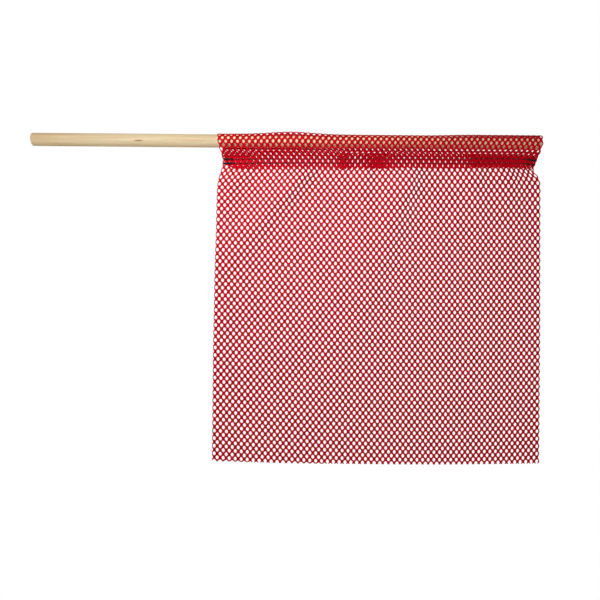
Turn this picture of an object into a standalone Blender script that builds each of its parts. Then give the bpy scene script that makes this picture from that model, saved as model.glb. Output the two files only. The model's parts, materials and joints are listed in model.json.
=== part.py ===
"""Hand-held warning flag: a square of red net sewn round a plain wooden staff.

The staff lies along +X with the centre of its butt face at the origin. The net hangs down (-Z) from the
sleeve at the tip end, and its front faces -Y. The free net swings about the lower edge of the sewn hem.
"""
from math import acos, atan2, cos, hypot, pi, radians, sin

import bmesh
import bpy
from mathutils import Matrix, Vector

# Driving dimensions, in metres
STAFF_LENGTH = 0.714
STAFF_DIAMETER = 0.018
STAFF_END_EASE = 0.001       # width of the rounding sanded on both end edges
NET_WIDTH = 0.457            # along the staff
NET_DROP = 0.457             # staff axis to the net's lower edge
NET_THICKNESS = 0.001
NET_EDGE_EASE = 0.00045         # rounding of the free net's upper edge
NET_OVERHANG = 0.003         # how far the net runs past the staff's tip
LOOP_CLEARANCE = 0.0008      # slack between the staff and the sleeve round it
ROW_DROP = 0.0234            # staff axis to the upper seam row
ROW_SPACING = 0.0059         # upper seam row to the lower one
FLAP_LENGTH = 0.0110         # lower seam row to the cut edge of the turned-over net
HINGE_DROP = 0.0024          # cut edge of the hem to the line that the free net swings about
THREAD_DIAMETER = 0.0006
TACK_INSET = 0.004           # end of the sleeve to the back-tack
TACK_LENGTH = 0.014
TACK_HEIGHT = 0.0022
TACK_THICKNESS = 0.0009
TACK_WEB = 0.0008            # the stitches that pass through the net, taken together
PARTING_RISE = 0.0012        # top of the upper back-tack to where the two layers part round the staff
STAPLE_CROWN = 0.0106
STAPLE_LEG = 0.008
STAPLE_WIRE_WIDTH = 0.00127
STAPLE_WIRE_THICKNESS = 0.0005
STAPLE_INSET = 0.022         # end of the sleeve to the middle of the staple
TOUCH_GAP = 0.0003           # between two pieces that lie on each other

STAFF_RADIUS = STAFF_DIAMETER / 2
SLEEVE_END = STAFF_LENGTH + NET_OVERHANG
SLEEVE_START = SLEEVE_END - NET_WIDTH
LAYER_OFFSET = (NET_THICKNESS + TOUCH_GAP) / 2      # middle of each hem layer from the hem's middle
HEM_HALF = LAYER_OFFSET + NET_THICKNESS / 2
LOOP_RADIUS = STAFF_RADIUS + LOOP_CLEARANCE + NET_THICKNESS / 2
PARTING_DROP = ROW_DROP - TACK_HEIGHT / 2 - PARTING_RISE
HEM_DROP = ROW_DROP + ROW_SPACING + FLAP_LENGTH
HINGE_Z = -(HEM_DROP + HINGE_DROP)
ROW_HEIGHTS = {"upper": -ROW_DROP, "lower": -(ROW_DROP + ROW_SPACING)}
STAPLE_BACK = LOOP_RADIUS + NET_THICKNESS / 2 + TOUCH_GAP  # inner face of the staple's crown
STAPLE_TIP = STAPLE_BACK + STAPLE_WIRE_THICKNESS - STAPLE_LEG

STAFF_SEGMENTS = 64
LOOP_SEGMENTS = 28
THREAD_SEGMENTS = 8


def clear_scene():
    for old in list(bpy.data.objects):
        bpy.data.objects.remove(old, do_unlink=True)


def make_material(name, colour, roughness, metallic=0.0):
    material = bpy.data.materials.new(name)
    material.use_nodes = True
    shader = material.node_tree.nodes["Principled BSDF"]
    shader.inputs["Base Color"].default_value = (*colour, 1.0)
    shader.inputs["Roughness"].default_value = roughness
    shader.inputs["Metallic"].default_value = metallic
    return material


def add_object(name, bm, material=None, location=(0, 0, 0)):
    """Turn a bmesh into a named object at a location."""
    mesh = bpy.data.meshes.new(name)
    bm.to_mesh(mesh)
    bm.free()
    if material:
        mesh.materials.append(material)
    item = bpy.data.objects.new(name, mesh)
    item.location = location
    bpy.context.scene.collection.objects.link(item)
    return item


def box(size, centre=(0, 0, 0)):
    """A bmesh box of a given size about a centre."""
    bm = bmesh.new()
    bmesh.ops.create_cube(bm, size=1.0)
    bmesh.ops.scale(bm, vec=size, verts=bm.verts)
    bmesh.ops.translate(bm, vec=centre, verts=bm.verts)
    return bm


def prism(outline, along):
    """A closed outline of points, filled and pushed out by the vector along, centred on its plane."""
    bm = bmesh.new()
    along = Vector(along)
    face = bm.faces.new([bm.verts.new(Vector(point) - along / 2) for point in outline])
    pushed = bmesh.ops.extrude_face_region(bm, geom=[face])
    moved = [item for item in pushed["geom"] if isinstance(item, bmesh.types.BMVert)]
    bmesh.ops.translate(bm, vec=along, verts=moved)
    bmesh.ops.recalc_face_normals(bm, faces=bm.faces)
    return bm


def cut(target, name, bm, location=(0, 0, 0)):
    """Cut the shape bm out of the target, and keep the cutter as a hidden wire."""
    cutter = add_object(name, bm, location=location)
    cutter.hide_render = True
    cutter.display_type = "WIRE"
    boolean = target.modifiers.new(name, "BOOLEAN")
    boolean.operation = "DIFFERENCE"
    boolean.object = cutter


def staple_middles():
    return {"grip_end": SLEEVE_START + STAPLE_INSET, "tip_end": SLEEVE_END - STAPLE_INSET}


def tack_middles():
    reach = TACK_INSET + TACK_LENGTH / 2
    return {"grip_end": SLEEVE_START + reach, "tip_end": SLEEVE_END - reach}


def cut_staple_slots(target):
    """Two slots per staple, one for each leg, through whatever the legs pass into."""
    width = STAPLE_WIRE_THICKNESS + 2 * TOUCH_GAP
    height = STAPLE_WIRE_WIDTH + 2 * TOUCH_GAP
    inner = STAPLE_TIP - TOUCH_GAP
    outer = STAPLE_BACK + TOUCH_GAP
    leg_reach = (STAPLE_CROWN - STAPLE_WIRE_THICKNESS) / 2
    for end, middle in staple_middles().items():
        for side in (-1, 1):
            leg = box((width, outer - inner, height), (0, (outer + inner) / 2, 0))
            name = f"slot_{target.name}_{end}_{'near' if side < 0 else 'far'}"
            cut(target, name, leg, (middle + side * leg_reach, 0, 0))


def make_staff(material):
    """A plain round dowel with both end edges eased."""
    bm = bmesh.new()
    bmesh.ops.create_cone(bm, cap_ends=True, segments=STAFF_SEGMENTS, radius1=STAFF_RADIUS,
                          radius2=STAFF_RADIUS, depth=STAFF_LENGTH)
    rims = [edge for edge in bm.edges if abs(edge.verts[0].co.z - edge.verts[1].co.z) < STAFF_END_EASE]
    bmesh.ops.bevel(bm, geom=rims, offset=STAFF_END_EASE, segments=3, profile=0.5, affect="EDGES",
                    material=-1)
    bmesh.ops.rotate(bm, cent=(0, 0, 0), matrix=Matrix.Rotation(pi / 2, 3, "Y"), verts=bm.verts)
    bmesh.ops.translate(bm, vec=(STAFF_LENGTH / 2, 0, 0), verts=bm.verts)
    staff = add_object("staff", bm, material)
    staff.data.shade_smooth()
    staff.data.set_sharp_from_angle(angle=radians(35))
    cut_staple_slots(staff)
    return staff


def sleeve_line():
    """Middle line of the net round the staff, in (y, z): up the front, over the top, down the back."""
    parting_angle = atan2(PARTING_DROP, LAYER_OFFSET)
    parting_distance = hypot(PARTING_DROP, LAYER_OFFSET)
    start = acos(LOOP_RADIUS / parting_distance) - parting_angle
    steps = [start + (pi - 2 * start) * i / LOOP_SEGMENTS for i in range(LOOP_SEGMENTS + 1)]
    over = [(-LOOP_RADIUS * cos(angle), LOOP_RADIUS * sin(angle)) for angle in steps]
    front = [(-LAYER_OFFSET, -HEM_DROP), (-LAYER_OFFSET, -PARTING_DROP)]
    back = [(-y, z) for y, z in reversed(front)]
    return front + over + back


def make_sleeve(material):
    """The net turned round the staff and back on itself: an open loop above a hem of two layers."""
    bm = bmesh.new()
    points = [bm.verts.new((SLEEVE_START, y, z)) for y, z in sleeve_line()]
    line = [bm.edges.new(pair) for pair in zip(points, points[1:])]
    pushed = bmesh.ops.extrude_edge_only(bm, edges=line)
    moved = [item for item in pushed["geom"] if isinstance(item, bmesh.types.BMVert)]
    bmesh.ops.translate(bm, vec=(NET_WIDTH, 0, 0), verts=moved)
    sleeve = add_object("mesh_sleeve", bm, material)
    sleeve.data.shade_smooth()
    wall = sleeve.modifiers.new("net thickness", "SOLIDIFY")
    wall.thickness = NET_THICKNESS
    wall.offset = 0.0
    wall.use_even_offset = True
    cut_staple_slots(sleeve)
    slot = (TACK_LENGTH + 2 * TOUCH_GAP, 4 * HEM_HALF, TACK_WEB + 2 * TOUCH_GAP)
    for row, height in ROW_HEIGHTS.items():
        for end, middle in tack_middles().items():
            cut(sleeve, f"slot_tack_{row}_{end}", box(slot), (middle, 0, height))
    return sleeve


def make_panel(material):
    """The free net below the hem. Its upper edge is rounded about the line that it swings on."""
    length = NET_DROP + HINGE_Z + NET_THICKNESS / 2
    bm = box((NET_WIDTH, NET_THICKNESS, length), (0, 0, (NET_THICKNESS - length) / 2))
    top = [edge for edge in bm.edges if all(vert.co.z > 0 for vert in edge.verts)]
    lengthwise = [edge for edge in top if abs(edge.verts[0].co.y - edge.verts[1].co.y) < TOUCH_GAP]
    bmesh.ops.bevel(bm, geom=lengthwise, offset=NET_EDGE_EASE, segments=3, profile=0.5, affect="EDGES",
                    material=-1)
    middle = (SLEEVE_START + SLEEVE_END) / 2
    return add_object("mesh_panel", bm, material, (middle, 0, HINGE_Z))


def make_thread(name, material, side, height):
    """One seam thread lying along a face of the hem, between the two back-tacks of its row."""
    ends = tack_middles()
    start = ends["grip_end"] + TACK_LENGTH / 2 + TOUCH_GAP
    length = ends["tip_end"] - TACK_LENGTH / 2 - TOUCH_GAP - start
    bm = bmesh.new()
    radius = THREAD_DIAMETER / 2
    bmesh.ops.create_cone(bm, cap_ends=True, segments=THREAD_SEGMENTS, radius1=radius, radius2=radius,
                          depth=length)
    bmesh.ops.rotate(bm, cent=(0, 0, 0), matrix=Matrix.Rotation(pi / 2, 3, "Y"), verts=bm.verts)
    bmesh.ops.translate(bm, vec=(length / 2, 0, 0), verts=bm.verts)
    thread = add_object(name, bm, material, (start, side * (HEM_HALF + TOUCH_GAP + radius), height))
    thread.data.shade_smooth()
    thread.data.set_sharp_from_angle(angle=radians(50))
    return thread


def make_tack(name, material, middle, height):
    """Back-tack: stitches piled on both faces of the hem and joined through it."""
    face = HEM_HALF + TOUCH_GAP
    back = face + TACK_THICKNESS
    web = TACK_WEB / 2
    pad = TACK_HEIGHT / 2
    front = [(-face, web), (-face, pad), (-back, pad), (-back, -pad), (-face, -pad), (-face, -web)]
    outline = front + [(-y, -z) for y, z in front]
    bm = prism([(0, y, z) for y, z in outline], (TACK_LENGTH, 0, 0))
    return add_object(name, bm, material, (middle, 0, height))


def make_staple(name, material, middle):
    """A flat-wire staple driven from behind, its crown along the staff."""
    crown = STAPLE_CROWN / 2
    inner = crown - STAPLE_WIRE_THICKNESS
    outer_y = STAPLE_BACK + STAPLE_WIRE_THICKNESS
    half = [(inner, STAPLE_BACK), (inner, STAPLE_TIP), (crown, STAPLE_TIP), (crown, outer_y)]
    outline = [(-x, y) for x, y in reversed(half)] + half
    bm = prism([(x, y, 0) for x, y in outline], (0, 0, STAPLE_WIRE_WIDTH))
    return add_object(name, bm, material, (middle, 0, 0))


def build():
    clear_scene()
    wood = make_material("beech", (0.68, 0.53, 0.35), 0.6)
    net = make_material("red net", (0.45, 0.01, 0.015), 0.55)
    thread = make_material("black thread", (0.012, 0.012, 0.013), 0.7)
    steel = make_material("galvanised wire", (0.6, 0.6, 0.6), 0.35, 1.0)
    make_staff(wood)
    make_sleeve(net)
    make_panel(net)
    for row, height in ROW_HEIGHTS.items():
        make_thread(f"needle_thread_{row}", thread, -1, height)
        make_thread(f"bobbin_thread_{row}", thread, 1, height)
        for end, middle in tack_middles().items():
            make_tack(f"back_tack_{row}_{end}", thread, middle, height)
    for end, middle in staple_middles().items():
        make_staple(f"staple_{end}", steel, middle)


build()
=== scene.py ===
"""Net warning flag on a wooden staff: the fine surface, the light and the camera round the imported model."""
import json
from math import pi, radians, sin

import bmesh
import bpy
import numpy as np
from mathutils import Matrix, Vector


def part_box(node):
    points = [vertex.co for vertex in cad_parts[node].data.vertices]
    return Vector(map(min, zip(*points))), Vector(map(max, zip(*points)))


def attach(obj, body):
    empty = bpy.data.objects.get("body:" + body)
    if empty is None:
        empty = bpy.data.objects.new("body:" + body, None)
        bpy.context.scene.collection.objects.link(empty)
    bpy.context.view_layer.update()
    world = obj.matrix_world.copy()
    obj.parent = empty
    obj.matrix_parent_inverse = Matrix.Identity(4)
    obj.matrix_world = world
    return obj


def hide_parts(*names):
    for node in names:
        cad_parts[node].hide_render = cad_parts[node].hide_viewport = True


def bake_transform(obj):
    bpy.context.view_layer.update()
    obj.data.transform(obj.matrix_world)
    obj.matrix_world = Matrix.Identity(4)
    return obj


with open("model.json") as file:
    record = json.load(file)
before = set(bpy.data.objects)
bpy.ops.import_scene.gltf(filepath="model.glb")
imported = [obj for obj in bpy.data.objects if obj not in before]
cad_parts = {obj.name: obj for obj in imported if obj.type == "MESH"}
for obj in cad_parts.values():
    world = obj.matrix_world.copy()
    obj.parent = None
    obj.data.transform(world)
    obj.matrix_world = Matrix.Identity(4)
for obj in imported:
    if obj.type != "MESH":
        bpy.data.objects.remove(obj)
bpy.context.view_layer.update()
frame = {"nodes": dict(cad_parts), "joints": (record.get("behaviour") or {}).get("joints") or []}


# ---------------------------------------------------------------- Staff
# A plain round dowel of beech, turned to 18 mm and sanded, with no varnish. The net is slipped over it, and
# its butt end stays bare for a hand or a socket. The model's own staff has the right shape and stays.

def srgb(code):
    """A colour such as "c8102e" as linear red, green, blue and alpha."""
    values = [int(code[i:i + 2], 16) / 255 for i in (0, 2, 4)]
    return [v / 12.92 if v <= 0.04045 else ((v + 0.055) / 1.055) ** 2.4 for v in values] + [1.0]


def new_material(name):
    """An empty Principled material, as its tree and its shader."""
    material = bpy.data.materials.new(name)
    material.use_nodes = True
    return material, material.node_tree, material.node_tree.nodes["Principled BSDF"]


def add(tree, kind, inputs=(), **settings):
    """Adds a node with its settings, and fills or links its inputs."""
    made = tree.nodes.new("ShaderNode" + kind)
    for name, value in settings.items():
        setattr(made, name, value)
    for name, value in dict(inputs).items():
        if isinstance(value, bpy.types.NodeSocket):
            tree.links.new(value, made.inputs[name])
        else:
            made.inputs[name].default_value = value
    return made


def colour_stops(ramp, *stops):
    """Gives a colour ramp its stops, each a place and a colour."""
    while len(ramp.color_ramp.elements) < len(stops):
        ramp.color_ramp.elements.new(0.5)
    for element, (place, code) in zip(ramp.color_ramp.elements, stops):
        element.position = place
        element.color = srgb(code)


def wear(node, material):
    """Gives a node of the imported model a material."""
    slots = frame["nodes"][node].data.materials
    slots.clear()
    slots.append(material)


# Beech: pale straw to pinkish tan, close lengthwise grain 0.6 mm apart, short brown ray flecks
beech, tree, shader = new_material("sanded beech")
place = add(tree, "TexCoord").outputs["Object"]
along = add(tree, "Mapping", {"Vector": place, "Scale": (16, 620, 620)})
grain = add(tree, "TexNoise", {"Vector": along.outputs[0], "Scale": 1.0, "Detail": 5.0, "Roughness": 0.6})
bands = add(tree, "Mapping", {"Vector": place, "Location": (0.4, 0.3, 0.75), "Scale": (3, 90, 90)})
growth = add(tree, "TexNoise", {"Vector": bands.outputs[0], "Scale": 1.0, "Detail": 3.0, "Distortion": 0.4})
tone = add(tree, "Mix", {"Factor": 0.55, "A": grain.outputs["Fac"], "B": growth.outputs["Fac"]})
wood_ramp = add(tree, "ValToRGB", {"Fac": tone.outputs["Result"]})
colour_stops(wood_ramp, (0.32, "cdae80"), (0.48, "e0c89c"), (0.62, "ead7b2"))
fleck_place = add(tree, "Mapping", {"Vector": place, "Scale": (260, 1500, 1500)})
flecks = add(tree, "TexVoronoi", {"Vector": fleck_place.outputs[0], "Scale": 1.0})
fleck_edge = add(tree, "MapRange", {"Value": flecks.outputs["Distance"], "From Min": 0.10, "From Max": 0.22,
                                    "To Min": 0.45, "To Max": 0.0})
flecked = add(tree, "Mix", {"Factor": fleck_edge.outputs[0], "A": wood_ramp.outputs[0],
                            "B": srgb("a87c4e")}, data_type="RGBA")
# Pinkish streaks of heartwood, 4 mm wide and some 200 mm long
streak_place = add(tree, "Mapping", {"Vector": place, "Location": (0.2, 0.1, 0.35), "Scale": (5, 240, 240)})
streaks = add(tree, "TexNoise", {"Vector": streak_place.outputs[0], "Scale": 1.0, "Detail": 4.0,
                                 "Roughness": 0.6, "Distortion": 0.3})
streak_edge = add(tree, "MapRange", {"Value": streaks.outputs["Fac"], "From Min": 0.50, "From Max": 0.70,
                                     "To Min": 0.0, "To Max": 0.65})
streaked = add(tree, "Mix", {"Factor": streak_edge.outputs[0], "A": flecked.outputs["Result"],
                             "B": srgb("cf9a6a")}, data_type="RGBA")
# One small knot streak, 11 mm long, on the front of the bare grip
KNOT_AT = (0.151, -0.0086, -0.0026)
KNOT_HALF = (0.0078, 0.0035, 0.0013)
knot_place = add(tree, "Mapping", {"Vector": place, "Scale": [1 / half for half in KNOT_HALF],
                                   "Location": [-at / half for at, half in zip(KNOT_AT, KNOT_HALF)]})
knot = add(tree, "TexGradient", {"Vector": knot_place.outputs[0]}, gradient_type="SPHERICAL")
knot_edge = add(tree, "MapRange", {"Value": knot.outputs["Fac"], "From Min": 0.0, "From Max": 0.5,
                                   "To Min": 0.0, "To Max": 0.8})
knotted = add(tree, "Mix", {"Factor": knot_edge.outputs[0], "A": streaked.outputs["Result"],
                            "B": srgb("a0622e")}, data_type="RGBA")
# Painted light: the wood inside the sleeve is made almost white-yellow to lift the shade that the net casts
# on it, and the grip keeps the plain wood colour
across = add(tree, "SeparateXYZ", {"Vector": place})
painted_light_in_sleeve = add(tree, "MapRange", {"Value": across.outputs["X"], "From Min": 0.258, "From Max": 0.267,
                                 "To Min": 0.0, "To Max": 0.95})
wood_with_painted_light = add(tree, "Mix", {"Factor": painted_light_in_sleeve.outputs[0], "A": knotted.outputs["Result"],
                         "B": srgb("fff8c8")}, data_type="RGBA")
tree.links.new(wood_with_painted_light.outputs["Result"], shader.inputs["Base Color"])
dull = add(tree, "MapRange", {"Value": grain.outputs["Fac"], "To Min": 0.62, "To Max": 0.48})
tree.links.new(dull.outputs[0], shader.inputs["Roughness"])
raised = add(tree, "Bump", {"Height": tone.outputs["Result"], "Strength": 0.25, "Distance": 0.0003})
tree.links.new(raised.outputs[0], shader.inputs["Normal"])
wear("staff", beech)


# ---------------------------------------------------------------- Net, flat
# One piece of warp-knitted polyester net, dipped in red vinyl. It comes off the roll with a closed edge on
# the right, and is cut through its cells everywhere else. It is knitted flat: u across, s along the cloth.

CELL_WIDTH = 0.0080          # hole to hole along a row
CELL_HEIGHT = 0.0106         # hole to hole down a column
STRAND_HALF = 0.00085        # middle of a strand to its edge, before it is rounded
NET_THICKNESS = 0.0011

sleeve_low, sleeve_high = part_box("mesh_sleeve")
panel_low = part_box("mesh_panel")[0]
upper_row = (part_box("needle_thread_upper")[0].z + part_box("needle_thread_upper")[1].z) / 2
lower_row = (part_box("needle_thread_lower")[0].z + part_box("needle_thread_lower")[1].z) / 2
net_width = sleeve_high.x - sleeve_low.x
loop_radius = (sleeve_high.y - sleeve_low.y) / 2 - NET_THICKNESS / 2
layer_half = 0.00065         # middle of each hem layer from the hem's middle
parting_rise = 0.0023        # upper seam row to where the layers part round the staff
row_tilt = 0.0046            # how much nearer to the staff the seam is at the tip end than at the other
hem_bottom = sleeve_low.z
net_bottom = panel_low.z + 0.004


def loop_shape(x):
    """The sleeve's half loop at each x: parting depth, tangent angle, arc length and straight length."""
    share = (x - sleeve_low.x) / net_width - 0.5
    parting = -(upper_row + row_tilt * share + parting_rise)
    reach = np.hypot(parting, layer_half)
    tangent = np.arccos(loop_radius / reach) - np.arctan2(parting, layer_half)
    return parting, tangent, loop_radius * (pi / 2 - tangent), np.sqrt(reach ** 2 - loop_radius ** 2)


middle_parting, _, middle_arc, middle_side = loop_shape(np.array([(sleeve_low.x + sleeve_high.x) / 2]))
to_parting = float(middle_arc[0] + middle_side[0])
parting_depth = float(middle_parting[0])
cloth_back = -(to_parting + abs(hem_bottom) - parting_depth)
cloth_front = to_parting + abs(net_bottom) - parting_depth
seam_distance = to_parting + abs(lower_row) - parting_depth


def smooth(value):
    """0 below 0, 1 above 1 and an even S between."""
    value = np.clip(value, 0, 1)
    return value * value * (3 - 2 * value)


LATTICE_CELLS = 112          # cells each way in the lattice that the net is cut from
BACK_CUT = (0.012, -1, 0)    # which way the cut back edge faces; it runs a little askew
FLAP_CUT = (-0.75, -1, 0)    # which way the slanting cut across the flap's corner faces
FLAP_CUT_AT = 0.004          # grip end of the net to where that cut meets the seam


def knit():
    """The whole net flat and without thickness: a lattice of diamonds opened into holes and cut to size."""
    net = bmesh.new()
    bmesh.ops.create_grid(net, x_segments=LATTICE_CELLS, y_segments=LATTICE_CELLS,
                          size=LATTICE_CELLS / 2)
    bmesh.ops.rotate(net, cent=(0, 0, 0), matrix=Matrix.Rotation(pi / 4, 3, "Z"), verts=net.verts)
    bmesh.ops.scale(net, vec=(CELL_WIDTH / 2 ** 0.5, CELL_HEIGHT / 2 ** 0.5, 1), verts=net.verts)
    selvedge = net_width - CELL_WIDTH / 4
    columns = round(selvedge / 2 / CELL_WIDTH)
    rows = round((cloth_front + cloth_back) / CELL_HEIGHT)
    bmesh.ops.translate(net, vec=(selvedge - columns * CELL_WIDTH, (rows / 2 + 0.25) * CELL_HEIGHT, 0),
                        verts=net.verts)
    margin = CELL_HEIGHT
    outside = [face for face in net.faces
               if not (-margin < face.calc_center_median().x < net_width + margin
                       and cloth_back - margin < face.calc_center_median().y < cloth_front + 3 * margin)]
    bmesh.ops.delete(net, geom=outside, context="FACES")
    skew_rows(net)
    holes = list(net.faces)
    bmesh.ops.inset_individual(net, faces=holes, thickness=STRAND_HALF, use_even_offset=True)
    bmesh.ops.delete(net, geom=holes, context="FACES_ONLY")
    past_selvedge = [face for face in net.faces if face.calc_center_median().x > selvedge]
    bmesh.ops.delete(net, geom=past_selvedge, context="FACES")
    trim(net, (0, 0, 0), (-1, 0, 0))
    trim(net, (0, cloth_front, 0), (0, 1, 0))
    trim(net, (0, cloth_back, 0), BACK_CUT)
    flap_faces = [face for face in net.faces if any(vert.co.y < -seam_distance for vert in face.verts)]
    flap_edges = dict.fromkeys(edge for face in flap_faces for edge in face.edges)
    flap_verts = dict.fromkeys(vert for face in flap_faces for vert in face.verts)
    bmesh.ops.bisect_plane(net, geom=[*flap_verts, *flap_edges, *flap_faces], clear_outer=True,
                           plane_co=(FLAP_CUT_AT, -seam_distance, 0), plane_no=FLAP_CUT)
    loose = [vert for vert in net.verts if not vert.link_faces]
    bmesh.ops.delete(net, geom=loose, context="VERTS")
    return net


def trim(net, point, outward):
    """Cuts the flat net off past a line, straight through its strands."""
    bmesh.ops.bisect_plane(net, geom=[*net.verts, *net.edges, *net.faces], plane_co=point,
                           plane_no=outward, clear_outer=True)


# The knit runs a little askew below the seam: how steeply its rows fall towards the tip end, in degrees, just
# below the seam and at the lower edge, at these shares of the net's width
SKEW_SHARES = (0.08, 0.25, 0.42, 0.59, 0.76, 0.90)
SKEW_UNDER_SEAM = (1.8, 2.7, 2.0, 1.7, 1.3, 0.8)
SKEW_AT_BOTTOM = (2.5, 3.4, 1.3, 0.3, -0.7, -1.1)
SKEW_FROM = 0.03             # along the cloth from the fold to where the skew sets in
SKEW_OVER = 0.11             # the length of cloth over which it comes in


def skew_rows(net):
    """Shifts the lattice along the cloth so that its rows fall as given, starting below the seam."""
    shares = np.linspace(0, 1, 101)
    falls = []
    for slopes in (SKEW_UNDER_SEAM, SKEW_AT_BOTTOM):
        steps = np.tan(np.radians(np.interp(shares, SKEW_SHARES, slopes))) * net_width / 100
        falls.append(np.cumsum(steps) - steps.sum() / 2)
    place = np.array([vert.co.xy for vert in net.verts])
    share = place[:, 0] / net_width
    down = np.clip((place[:, 1] - seam_distance) / (cloth_front - seam_distance), 0, 1)
    upper, lower = (np.interp(share, shares, fall) for fall in falls)
    shift = (upper * (1 - down) + lower * down) * smooth((place[:, 1] - SKEW_FROM) / SKEW_OVER)
    for vert, fall in zip(net.verts, shift):
        vert.co.y += fall


def rounded(bm, levels=1):
    """The bmesh as a mesh, given its thickness and with its strands rounded by subdivision."""
    flat = bpy.data.meshes.new("flat net")
    bm.to_mesh(flat)
    bm.free()
    item = bpy.data.objects.new("flat net", flat)
    bpy.context.scene.collection.objects.link(item)
    thicken = item.modifiers.new("thicken", "SOLIDIFY")
    thicken.thickness = NET_THICKNESS
    thicken.offset = 0
    round_off = item.modifiers.new("round", "SUBSURF")
    round_off.levels = round_off.render_levels = levels
    evaluated = item.evaluated_get(bpy.context.evaluated_depsgraph_get())
    mesh = bpy.data.meshes.new_from_object(evaluated)
    bpy.data.objects.remove(item)
    return mesh


flat_net = rounded(knit())


# ---------------------------------------------------------------- Net, hung
# The net goes once round the staff as a loose sleeve, and its back edge is sewn to its front. Below the
# hem it hangs free, drawn in a little at the seam, with soft folds that start there and die out below.

# A fold in the free net: where it leaves the seam, its lean towards the grip, half width, reach, height
FOLDS = (
    (0.300, 0.55, 0.022, 0.100, 0.006),
    (0.398, 0.84, 0.020, 0.140, 0.013),
    (0.470, 0.10, 0.016, 0.060, 0.006),
    (0.540, 0.36, 0.024, 0.200, 0.012),
    (0.628, 0.05, 0.015, 0.060, 0.007),
    (0.672, -0.05, 0.014, 0.070, 0.006),
)
FOLD_FROM = 0.002            # below the seam to where the folds begin
FOLD_OVER = 0.030            # the depth over which they reach their height
FOLD_WIDENS = 0.12           # how much a fold's half width grows for each metre below the seam
FOLD_STEEP, FOLD_GENTLE = 0.62, 1.3    # shares of the half width on the tip side and the grip side
SLEEVE_PUFF = 0.0036         # how far the slack stands off the staff in the puffed places
PUFF_AT, PUFF_HALF = 0.364, 0.042      # middle and half width of the main puffed place
TIP_PUFF, TIP_PUFF_FROM, TIP_PUFF_OVER = 0.4, 0.55, 0.07    # share, start and run-in of the one by the tip
PUFF_SINK = 0.0006           # how much closer the net lies on top of the staff elsewhere
PUFF_REACH = 0.032           # along the cloth from the fold to where the puff ends
HEM_TURN = 0.0015            # the length of cloth that turns from the loop into the hem
CENTRE_FROM, CENTRE_OVER = 0.02, 0.05  # below the seam, where the free net comes back to the staff's plane
# Along the staff, how many cells the back of the net slipped past the front as the two were sewn together
SLIP_PLACES = (0.295, 0.322, 0.420, 0.436, 0.456, 0.484, 0.515, 0.606, 0.630)
SLIP_CELLS = (0.0, 0.28, 0.30, 0.0, -0.28, 0.0, 0.28, 0.26, 0.0)
SLIP_OVER = 0.017            # the length of cloth below the loop over which that slip comes in
WIDER_AT_GRIP = 0.045        # how much wider the cells are pulled at the grip end than in the middle
BOTTOM_BOW = 0.0028          # how far the middle of the lower edge hangs below its ends
BOW_DEPTH = 0.41             # below the seam to where that bow is reached
DRAW_IN = 0.017              # the share by which the seam thread gathers the net
GATHER_AT, GATHER_HALF = 0.004, 0.021  # below the seam, the middle and half width of the gathered band
NOTCH_AT, NOTCH_HALF = 0.012, 0.011    # the same for the notch that the tip end's tack pulls into the edge
GRIP_PULL, GRIP_REACH = 0.0032, 0.03   # how far the tack pulls the grip end's edge in, and over what width
TIP_PULL, TIP_REACH = 0.0055, 0.025    # the same at the tip end
TIP_BACK = 0.005             # how far the tip end's edge is pulled back there
TIP_SINK, TIP_SINK_REACH = 0.0028, 0.02          # how far it is pulled down, and over what width
SPREAD_DEPTH = 0.30          # below the seam to where the free net has its full width
SPREAD_GRIP, SPREAD_TIP = 0.0085, 0.003          # twice how much wider it is there at each end


def fold_relief(x, depth):
    """How far the free net stands forward of its plane at a depth below the seam."""
    relief = np.zeros_like(x)
    for start, lean, width, reach, height in FOLDS:
        aside = x - start + lean * depth
        half_width = (width + FOLD_WIDENS * depth) * np.where(aside > 0, FOLD_STEEP, FOLD_GENTLE)
        relief += height * np.exp(-(aside / half_width) ** 2) * np.exp(-depth / reach)
    return relief * smooth((depth - FOLD_FROM) / FOLD_OVER)


GRID_WIDE, GRID_DEEP = 500, 140
grid_x = np.linspace(sleeve_low.x, sleeve_high.x, GRID_WIDE)
grid_depth = np.linspace(0, abs(net_bottom), GRID_DEEP)


def fold_take_up():
    """How far the folds draw the cloth sideways, on the grid, so that it isn't stretched over them."""
    relief = fold_relief(*(line.ravel() for line in np.meshgrid(grid_x, grid_depth)))
    slope = np.gradient(relief.reshape(GRID_DEEP, GRID_WIDE), grid_x, axis=1)
    drawn = np.empty_like(slope)
    for line, steepness in zip(drawn, slope):
        length = np.cumsum(np.sqrt(1 + steepness ** 2))
        share = (length - length[0]) / (length[-1] - length[0])
        line[:] = np.interp(np.linspace(0, 1, GRID_WIDE), share, grid_x) - grid_x
    return drawn


take_up = fold_take_up()


def drawn_aside(x, depth):
    """The take-up at any place in the free net, between the grid's points."""
    column = np.clip((x - grid_x[0]) / (grid_x[1] - grid_x[0]), 0, GRID_WIDE - 1.001)
    row = np.clip(depth / grid_depth[1], 0, GRID_DEEP - 1.001)
    i, j = row.astype(int), column.astype(int)
    down, right = row - i, column - j
    near = take_up[i, j] * (1 - right) + take_up[i, j + 1] * right
    far = take_up[i + 1, j] * (1 - right) + take_up[i + 1, j + 1] * right
    return near * (1 - down) + far * down


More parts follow.
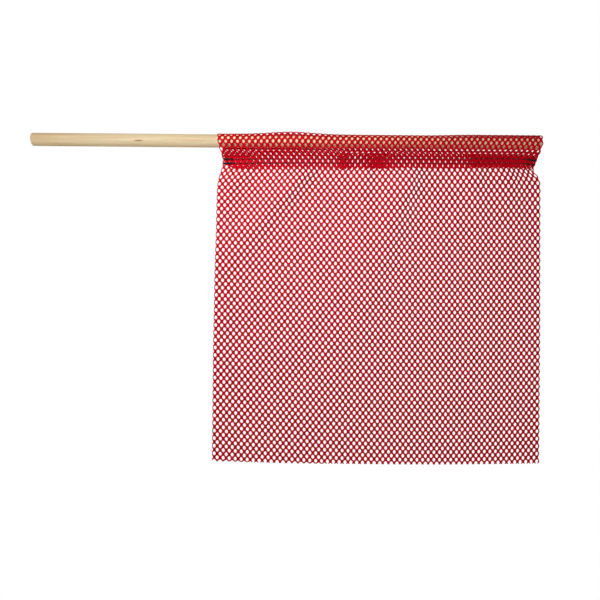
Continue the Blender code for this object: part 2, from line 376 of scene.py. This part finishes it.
def hang(u, s, w):
    """Where a point of the flat net comes to lie: u across, s along the cloth, w out of its surface."""
    share = u / net_width
    x = sleeve_low.x + u + WIDER_AT_GRIP * net_width * share * (1 - share)
    parting, tangent, arc, side = loop_shape(x)
    travel = np.abs(s)
    on_side = travel - arc
    on_hem = travel - arc - side
    angle = np.where(on_side < 0, pi / 2 - travel / loop_radius, tangent)
    out = loop_radius * np.cos(angle) + np.clip(on_side, 0, side) * np.sin(tangent)
    up = loop_radius * np.sin(angle) - np.clip(on_side, 0, side) * np.cos(tangent)
    hem = smooth(on_hem / HEM_TURN + 0.5)
    out = np.where(on_hem > 0, layer_half, out) + w * (np.cos(angle) * (1 - hem) + hem)
    up = np.where(on_hem > 0, -parting - on_hem, up) + w * np.sin(angle) * (1 - hem)
    puff = np.exp(-((x - PUFF_AT) / PUFF_HALF) ** 2) + TIP_PUFF * smooth((x - TIP_PUFF_FROM) / TIP_PUFF_OVER)
    up = up + (SLEEVE_PUFF * puff - PUFF_SINK) * smooth(1 - travel / PUFF_REACH)
    depth = np.clip(on_hem - parting_rise, 0, None)
    x = x + drawn_aside(x, depth)
    free = s > 0
    y = np.where(free, -1.0, 1.0) * out
    y = y - np.where(free | (on_hem > 0), fold_relief(x, depth), 0.0)
    y = y + np.where(free, layer_half * smooth((depth - CENTRE_FROM) / CENTRE_OVER), 0.0)
    slip = np.interp(x, SLIP_PLACES, SLIP_CELLS) * CELL_WIDTH
    below = smooth(on_side / SLIP_OVER)
    slipped = np.where(free, 0, slip * below + CELL_WIDTH / 2 * smooth(travel / arc) * (1 - below))
    middle = sleeve_low.x + net_width / 2
    gather = np.exp(-((on_hem - parting_rise - GATHER_AT) / GATHER_HALF) ** 2)
    from_grip = np.exp(-(x - sleeve_low.x) / GRIP_REACH)
    from_tip = np.exp(-(sleeve_high.x - x) / TIP_REACH)
    notch = np.exp(-((on_hem - parting_rise - NOTCH_AT) / NOTCH_HALF) ** 2)
    moved = x - (x - middle) * DRAW_IN * gather + GRIP_PULL * from_grip * gather - TIP_PULL * from_tip * notch
    spread = smooth(depth / SPREAD_DEPTH) * (x - middle) / net_width
    moved = moved + spread * np.where(x < middle, SPREAD_GRIP, SPREAD_TIP) + slipped
    y = y + np.where(free, TIP_BACK * from_tip * notch, 0.0)
    up = up - TIP_SINK * gather * np.exp(-((sleeve_high.x - x) / TIP_SINK_REACH) ** 2)
    up = up + BOTTOM_BOW * (2 * share - 1) ** 2 * smooth(depth / BOW_DEPTH)
    return np.stack([moved, y, up], axis=-1)


def net_piece(name, start, end):
    """The stretch of net between two distances along the cloth, hung in place, its cut strands closed."""
    bm = bmesh.new()
    bm.from_mesh(flat_net)
    away = [face for face in bm.faces if not start < face.calc_center_median().y + CELL_WIDTH
            or not face.calc_center_median().y - CELL_WIDTH < end]
    bmesh.ops.delete(bm, geom=away, context="FACES")
    trim(bm, (0, start, 0), (0, -1, 0))
    trim(bm, (0, end, 0), (0, 1, 0))
    cut = [edge for edge in bm.edges if edge.is_boundary]
    bmesh.ops.holes_fill(bm, edges=cut, sides=0)
    for edge in cut:
        edge.smooth = False
    cloth = bm.loops.layers.uv.new("cloth")
    for face in bm.faces:
        for loop in face.loops:
            loop[cloth].uv = loop.vert.co.xy
    mesh = bpy.data.meshes.new(name)
    bm.to_mesh(mesh)
    bm.free()
    flat = np.empty(len(mesh.vertices) * 3)
    mesh.vertices.foreach_get("co", flat)
    hung = hang(*flat.reshape(-1, 3).T)
    mesh.vertices.foreach_set("co", hung.astype(np.float32).ravel())
    mesh.update()
    mesh.shade_smooth()
    item = bpy.data.objects.new(name, mesh)
    bpy.context.scene.collection.objects.link(item)
    mesh.materials.append(vinyl)
    return item


# Red vinyl over knitted yarn: saturated, half glossy, with small ribs from the knit 1.1 mm apart, and painted
# shade in the dips between the ribs
vinyl, tree, shader = new_material("vinyl-dipped net")
cloth_uv = add(tree, "UVMap", uv_map="cloth").outputs["UV"]
ribs = add(tree, "TexWave", {"Vector": cloth_uv, "Scale": 285.0, "Distortion": 1.5, "Detail": 1.0,
                             "Detail Scale": 2.0}, bands_direction="Y")
yarns = add(tree, "TexWave", {"Vector": cloth_uv, "Scale": 390.0, "Distortion": 1.0, "Detail": 1.0,
                              "Detail Scale": 2.0}, bands_direction="X")
knit_height = add(tree, "Mix", {"Factor": 0.4, "A": ribs.outputs["Fac"], "B": yarns.outputs["Fac"]})
patches = add(tree, "TexNoise", {"Vector": cloth_uv, "Scale": 60.0, "Detail": 3.0})
# Random patches of tone, plus painted shade: the colour is darker in the dips of the knit ribs
mottle_and_dip_shade = add(tree, "Mix", {"Factor": 0.35, "A": patches.outputs["Fac"], "B": knit_height.outputs["Result"]})
vinyl_ramp = add(tree, "ValToRGB", {"Fac": mottle_and_dip_shade.outputs["Result"]})
colour_stops(vinyl_ramp, (0.30, "be0417"), (0.52, "d0051d"), (0.72, "dc0c26"))
tree.links.new(vinyl_ramp.outputs[0], shader.inputs["Base Color"])
gloss = add(tree, "MapRange", {"Value": patches.outputs["Fac"], "From Min": 0.3, "From Max": 0.7,
                               "To Min": 0.30, "To Max": 0.42})
tree.links.new(gloss.outputs[0], shader.inputs["Roughness"])
shader.inputs["Specular IOR Level"].default_value = 0.4
shader.inputs["Specular Tint"].default_value = srgb("ff3a50")
ribbed = add(tree, "Bump", {"Height": knit_height.outputs["Result"], "Strength": 0.45, "Distance": 0.0003})
tree.links.new(ribbed.outputs[0], shader.inputs["Normal"])

hinge = frame["joints"][0]["pos_m"][2]
BEND_REACH = 0.010           # half of how far the sleeve piece runs on past the line that the net swings on
sleeve_end = to_parting + abs(hinge) - parting_depth + 2 * BEND_REACH
net_sleeve = net_piece("net_sleeve", cloth_back - 1, sleeve_end)
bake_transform(net_sleeve)
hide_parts("mesh_sleeve")

panel_length = (cloth_front - sleeve_end) / 3
for number, part in enumerate(("upper", "middle", "lower")):
    start = sleeve_end + number * panel_length
    end = start + panel_length if part != "lower" else cloth_front + 1
    net_panel = net_piece(f"net_panel_{part}", start, end)
    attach(net_panel, "flag")
    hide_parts("mesh_panel")


# ---------------------------------------------------------------- Seams
# Two rows of black polyester lock stitch close the sleeve, 6 mm apart. The needle thread lies in front
# and the bobbin thread behind, and they lock in the middle of the two layers at every stitch.

THREAD_RADIUS = 0.0004
STITCH = 0.0032
SEAM_START = 0.0015          # grip end of the net to the first stitch
SEAM_END = 0.0045            # last stitch to the tip end of the net
row_spacing = upper_row - lower_row


def thread_line(name, path, radius):
    """A thread as a mesh tube along a path of points, with closed ends."""
    line = bpy.data.curves.new(name, "CURVE")
    line.dimensions = "3D"
    line.bevel_depth = radius
    line.bevel_resolution = 1
    line.use_fill_caps = True
    spline = line.splines.new("POLY")
    spline.points.add(len(path) - 1)
    spline.points.foreach_set("co", np.column_stack([path, np.ones(len(path))]).ravel())
    shell = bpy.data.objects.new(name, line)
    mesh = bpy.data.meshes.new_from_object(shell)
    mesh.name = name
    mesh.shade_smooth()
    bpy.data.objects.remove(shell)
    item = bpy.data.objects.new(name, mesh)
    bpy.context.scene.collection.objects.link(item)
    mesh.materials.append(polyester)
    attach(item, "staff")
    return item


POINTS_PER_STITCH = 6
STITCH_FLAT = 1.9            # how quickly a stitch rises out of the net; at 1 it would be a plain arch


def stitched(start, end, row, face, lift, offset=0.0):
    """Points of a stitched line on the hem's front (face 1) or back (-1): over the net, then down into it."""
    steps = POINTS_PER_STITCH * max(1, round(abs(end - start) / STITCH))
    u = np.linspace(start, end, steps + 1)
    phase = np.arange(steps + 1) % POINTS_PER_STITCH / POINTS_PER_STITCH
    over = np.minimum(1, STITCH_FLAT * np.sin(pi * phase))
    _, _, arc, side = loop_shape(sleeve_low.x + u)
    s = arc + side + parting_rise + row * row_spacing + offset
    return hang(u, face * s, lift * over - layer_half * (1 - over))


# Bonded polyester thread: black, dull, with the turns of its twist 0.7 mm apart
polyester, tree, shader = new_material("bonded polyester thread")
place = add(tree, "TexCoord").outputs["Object"]
turned = add(tree, "Mapping", {"Vector": place, "Rotation": (0, radians(35), 0)})
twist = add(tree, "TexWave", {"Vector": turned.outputs[0], "Scale": 450.0, "Distortion": 0.6})
thread_ramp = add(tree, "ValToRGB", {"Fac": twist.outputs["Fac"]})
colour_stops(thread_ramp, (0.1, "040404"), (0.9, "120e0f"))
tree.links.new(thread_ramp.outputs[0], shader.inputs["Base Color"])
shader.inputs["Roughness"].default_value = 0.6
twisted = add(tree, "Bump", {"Height": twist.outputs["Fac"], "Strength": 0.5, "Distance": 0.0002})
tree.links.new(twisted.outputs[0], shader.inputs["Normal"])

surface = NET_THICKNESS / 2 + THREAD_RADIUS * 0.6
for row, row_name in enumerate(("upper", "lower")):
    for face, thread_name in ((1, "needle_thread"), (-1, "bobbin_thread")):
        path = stitched(SEAM_START, net_width - SEAM_END, row, face, surface)
        thread = thread_line(f"stitches_{thread_name}_{row_name}", path, THREAD_RADIUS)
        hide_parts(f"{thread_name}_{row_name}")


# ---------------------------------------------------------------- Back-tacks
# Each row starts and ends with stitches sewn back and forth over the same 14 mm, so the ends don't run.

TACK_LENGTH = 0.014
TACK_PASSES = 5
TACK_SPREAD, TACK_WANDER = 0.00085, 2.4          # how far the passes stray from the row, and how they do
TACK_LIFT, TACK_PILE = 1.05, 0.22      # how far the first pass lies out, and how much further each next one
for row, row_name in enumerate(("upper", "lower")):
    for end_name, start in (("grip_end", SEAM_START), ("tip_end", net_width - SEAM_END - TACK_LENGTH)):
        for face, face_name in ((1, "front"), (-1, "back")):
            passes = []
            for turn in range(TACK_PASSES):
                offset = TACK_SPREAD * sin(TACK_WANDER * turn + row)
                lift = surface * (TACK_LIFT + TACK_PILE * turn)
                run = stitched(start, start + TACK_LENGTH, row, face, lift, offset)
                passes.append(run[::-1] if turn % 2 else run)
            tack_name = f"back_tack_{row_name}_{end_name}"
            tack = thread_line(f"{tack_name}_{face_name}", np.concatenate(passes), THREAD_RADIUS)
            if face == 1:
                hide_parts(tack_name)


# ---------------------------------------------------------------- Staples
# Two flat-wire staples, driven from behind, pin the sleeve to the staff near its ends.

# Galvanised steel wire: light grey, half bright, with faint draw marks along it
zinc, tree, shader = new_material("galvanised wire")
place = add(tree, "TexCoord").outputs["Object"]
drawn = add(tree, "Mapping", {"Vector": place, "Scale": (150, 2500, 2500)})
marks = add(tree, "TexNoise", {"Vector": drawn.outputs[0], "Scale": 1.0, "Detail": 3.0})
zinc_ramp = add(tree, "ValToRGB", {"Fac": marks.outputs["Fac"]})
colour_stops(zinc_ramp, (0.35, "8f9294"), (0.65, "c4c6c6"))
tree.links.new(zinc_ramp.outputs[0], shader.inputs["Base Color"])
shader.inputs["Metallic"].default_value = 1.0
worn = add(tree, "MapRange", {"Value": marks.outputs["Fac"], "To Min": 0.28, "To Max": 0.5})
tree.links.new(worn.outputs[0], shader.inputs["Roughness"])
scratched = add(tree, "Bump", {"Height": marks.outputs["Fac"], "Strength": 0.2, "Distance": 0.0001})
tree.links.new(scratched.outputs[0], shader.inputs["Normal"])
wear("staple_grip_end", zinc)
wear("staple_tip_end", zinc)


# ---------------------------------------------------------------- Floor, light and camera
# A pale matt floor well below the flag and white surroundings. A small soft lamp in front of the net's
# upper left brings out its folds, larger ones light its back and the floor, and the camera is square to it.

FLOOR_DROP = 2.0
FLOOR_RADIUS = 2.4
floor_bm = bmesh.new()
bmesh.ops.create_circle(floor_bm, cap_ends=True, segments=96, radius=FLOOR_RADIUS)
bmesh.ops.translate(floor_bm, vec=(0.4, 0, -FLOOR_DROP), verts=floor_bm.verts)
floor_mesh = bpy.data.meshes.new("floor")
floor_bm.to_mesh(floor_mesh)
floor_bm.free()
floor = bpy.data.objects.new("floor", floor_mesh)
bpy.context.scene.collection.objects.link(floor)
plaster, tree, shader = new_material("pale floor")
shader.inputs["Base Color"].default_value = srgb("f2f1ee")
shader.inputs["Roughness"].default_value = 0.9
floor_mesh.materials.append(plaster)

# The surroundings look white, and light the flag less than they show
AMBIENT = 0.14
world = bpy.data.worlds.new("white surroundings")
bpy.context.scene.world = world
world.use_nodes = True
sky = world.node_tree.nodes["Background"]
seen = add(world.node_tree, "LightPath").outputs["Is Camera Ray"]
brightness = add(world.node_tree, "MapRange", {"Value": seen, "To Min": AMBIENT, "To Max": 1.0})
sky.inputs["Color"].default_value = (1, 1, 1, 1)
world.node_tree.links.new(brightness.outputs[0], sky.inputs["Strength"])


def soft_lamp(name, size, energy, place, aim):
    """A round area lamp at a place, shining at a point."""
    data = bpy.data.lights.new(name, "AREA")
    data.shape = "DISK"
    data.size = size
    data.energy = energy
    lamp = bpy.data.objects.new(name, data)
    lamp.location = place
    lamp.rotation_euler = (Vector(aim) - Vector(place)).to_track_quat("-Z", "Y").to_euler()
    lamp.visible_camera = False
    bpy.context.scene.collection.objects.link(lamp)


soft_lamp("front lamp", 0.30, 3.9, (0.16, -0.60, 0.22), (0.44, 0, -0.16))
soft_lamp("back lamp", 0.9, 5.0, (0.40, 1.3, 0.45), (0.40, 0, -0.16))
soft_lamp("floor lamp", 5.0, 60.0, (0.40, 0, -1.7), (0.40, 0, -FLOOR_DROP))

CAMERA_DISTANCE = 0.80
VIEW_WIDTH = 0.8442          # what the camera sees across at the net's plane
camera_data = bpy.data.cameras.new("camera")
camera_data.sensor_width = 36
camera_data.lens = 36 * CAMERA_DISTANCE / VIEW_WIDTH
camera = bpy.data.objects.new("camera", camera_data)
camera.location = (0.3778, -CAMERA_DISTANCE, -0.2227)
camera.rotation_euler = (pi / 2, radians(-0.5), 0)
bpy.context.scene.collection.objects.link(camera)
bpy.context.scene.camera = camera
bpy.context.scene.view_settings.view_transform = "Standard"
